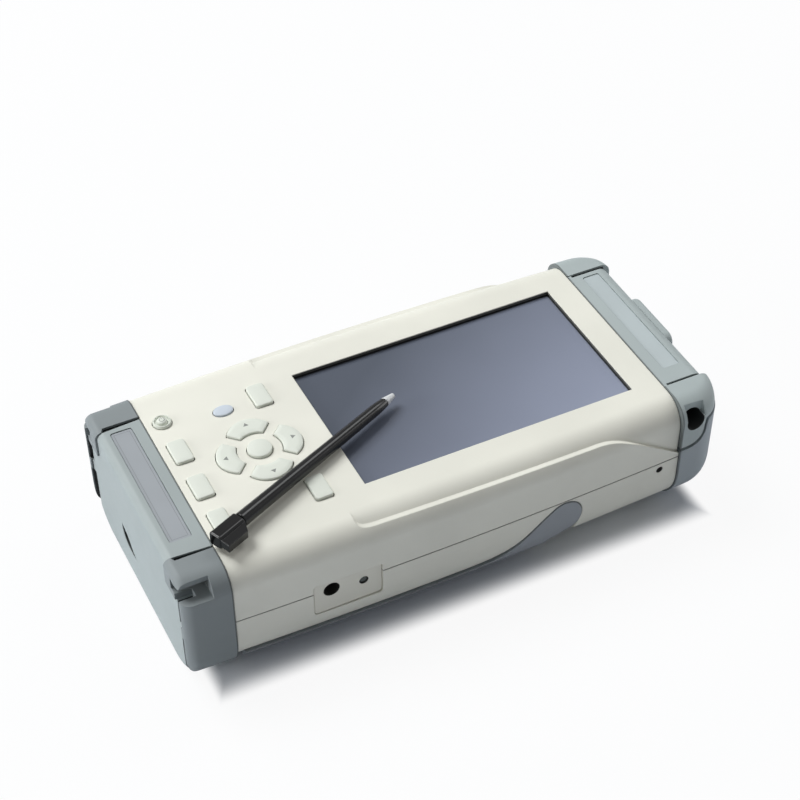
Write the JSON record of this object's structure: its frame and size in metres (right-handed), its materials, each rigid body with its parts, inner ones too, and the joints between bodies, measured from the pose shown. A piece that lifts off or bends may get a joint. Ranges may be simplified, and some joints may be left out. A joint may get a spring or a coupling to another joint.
{
  "type": "handheld spectrum analyzer",
  "caption": "Battery handheld spectrum analyzer lying on its back: sunk touch screen, rubber keys, grey end caps, wrap-round tilt stand, hooded signal connector and a stylus across the face.",
  "frame": {"origin": "middle of the bounding box's bottom face, on the plane that the feet rest on", "axes": "+X along the length from the bottom end to the connector end, +Y towards the far long side as pictured, +Z out of the screen"},
  "size_m": [0.1942, 0.0936, 0.0547],
  "materials": {
    "pale_shell": "fine moulded texture, off-white",
    "grey_cap": "fine moulded texture, grey",
    "grey_guard": "soft moulded texture, grey",
    "label_grey": "satin, bare purplish grey",
    "screen_glass": "polished, over a grey display",
    "key_rubber": "matte pale grey",
    "key_blue": "matte blue-grey",
    "stand_grey": "matte dark grey",
    "black_plastic": "satin black",
    "stylus_tip": "smooth, silvery white",
    "dark_rubber": "matte",
    "steel": "plain",
    "brass": "plated, bright",
    "white_plastic": "smooth",
    "clear_plastic": "smooth, frosted",
    "board_green": "solder-resist green"
  },
  "bodies": {
    "case": {"upper_case": "pale_shell", "lower_case": "pale_shell", "bottom_end_cap": "grey_cap", "bottom_guard_near": "grey_guard", "bottom_guard_far": "grey_guard", "top_end_cap": "grey_cap", "top_guard_near": "grey_guard", "top_guard_far": "grey_guard", "bottom_label_plate": "label_grey", "top_label_plate": "label_grey", "connector_hood": "grey_cap", "side_socket_panel": "label_grey", "touch_glass": "screen_glass", "display_gasket": "dark_rubber", "lcd_module": "steel", "lcd_bracket": "steel", "keypad_mat": "white_plastic", "keypad_board": "board_green", "main_board": "board_green", "rf_shield_can": "steel", "sounder": "black_plastic", "rf_connector_body": "brass", "rf_connector_nut": "brass", "rf_connector_insert": "white_plastic", "dc_socket": "black_plastic", "charge_light_guide": "clear_plastic", "battery_pack": "black_plastic", "battery_cover": "pale_shell", "cover_screw_near": "steel", "cover_screw_far": "steel", "case_screw_left_near": "steel", "case_screw_left_far": "steel", "case_screw_right_near": "steel", "case_screw_right_far": "steel", "stand_pin_near": "steel", "stand_pin_far": "steel", "foot_left_near": "dark_rubber", "foot_left_far": "dark_rubber", "foot_right_near": "dark_rubber", "foot_right_far": "dark_rubber"},
    "power_key": {"power_key": "key_rubber"},
    "preset_key": {"preset_key": "key_rubber"},
    "view_key": {"view_key": "key_rubber"},
    "marker_key": {"marker_key": "key_rubber"},
    "exit_key": {"exit_key": "key_rubber"},
    "status_key": {"status_key": "key_rubber"},
    "screen_key": {"screen_key": "key_blue"},
    "up_key": {"up_key": "key_rubber"},
    "down_key": {"down_key": "key_rubber"},
    "left_key": {"left_key": "key_rubber"},
    "right_key": {"right_key": "key_rubber"},
    "enter_key": {"enter_key": "key_rubber"},
    "stand": {"tilt_stand": "stand_grey"},
    "stylus": {"stylus_head": "black_plastic", "stylus_barrel": "black_plastic", "stylus_tip": "stylus_tip"}
  },
  "joints": [
    {"name": "power_press", "type": "slide", "parent": "case", "child": "power_key", "axis": [0, 0, -1], "range_m": [0, 0.0006], "stiffness_N_per_m": 300},
    {"name": "preset_press", "type": "slide", "parent": "case", "child": "preset_key", "axis": [0, 0, -1], "range_m": [0, 0.0006], "stiffness_N_per_m": 300},
    {"name": "view_press", "type": "slide", "parent": "case", "child": "view_key", "axis": [0, 0, -1], "range_m": [0, 0.0006], "stiffness_N_per_m": 300},
    {"name": "marker_press", "type": "slide", "parent": "case", "child": "marker_key", "axis": [0, 0, -1], "range_m": [0, 0.0006], "stiffness_N_per_m": 300},
    {"name": "exit_press", "type": "slide", "parent": "case", "child": "exit_key", "axis": [0, 0, -1], "range_m": [0, 0.0006], "stiffness_N_per_m": 300},
    {"name": "status_press", "type": "slide", "parent": "case", "child": "status_key", "axis": [0, 0, -1], "range_m": [0, 0.0006], "stiffness_N_per_m": 300},
    {"name": "screen_press", "type": "slide", "parent": "case", "child": "screen_key", "axis": [0, 0, -1], "range_m": [0, 0.0006], "stiffness_N_per_m": 300},
    {"name": "up_press", "type": "slide", "parent": "case", "child": "up_key", "axis": [0, 0, -1], "range_m": [0, 0.0006], "stiffness_N_per_m": 300},
    {"name": "down_press", "type": "slide", "parent": "case", "child": "down_key", "axis": [0, 0, -1], "range_m": [0, 0.0006], "stiffness_N_per_m": 300},
    {"name": "left_press", "type": "slide", "parent": "case", "child": "left_key", "axis": [0, 0, -1], "range_m": [0, 0.0006], "stiffness_N_per_m": 300},
    {"name": "right_press", "type": "slide", "parent": "case", "child": "right_key", "axis": [0, 0, -1], "range_m": [0, 0.0006], "stiffness_N_per_m": 300},
    {"name": "enter_press", "type": "slide", "parent": "case", "child": "enter_key", "axis": [0, 0, -1], "range_m": [0, 0.0006], "stiffness_N_per_m": 300},
    {"name": "stand_swing", "type": "hinge", "parent": "case", "child": "stand", "pos_m": [0.0348, 0, 0.0196], "axis": [0, -1, 0], "range_deg": [0, 50]},
    {"name": "stylus_lift", "type": "slide", "parent": "case", "child": "stylus", "axis": [0, 0, 1], "range_m": [0, 0.04]}
  ]
}
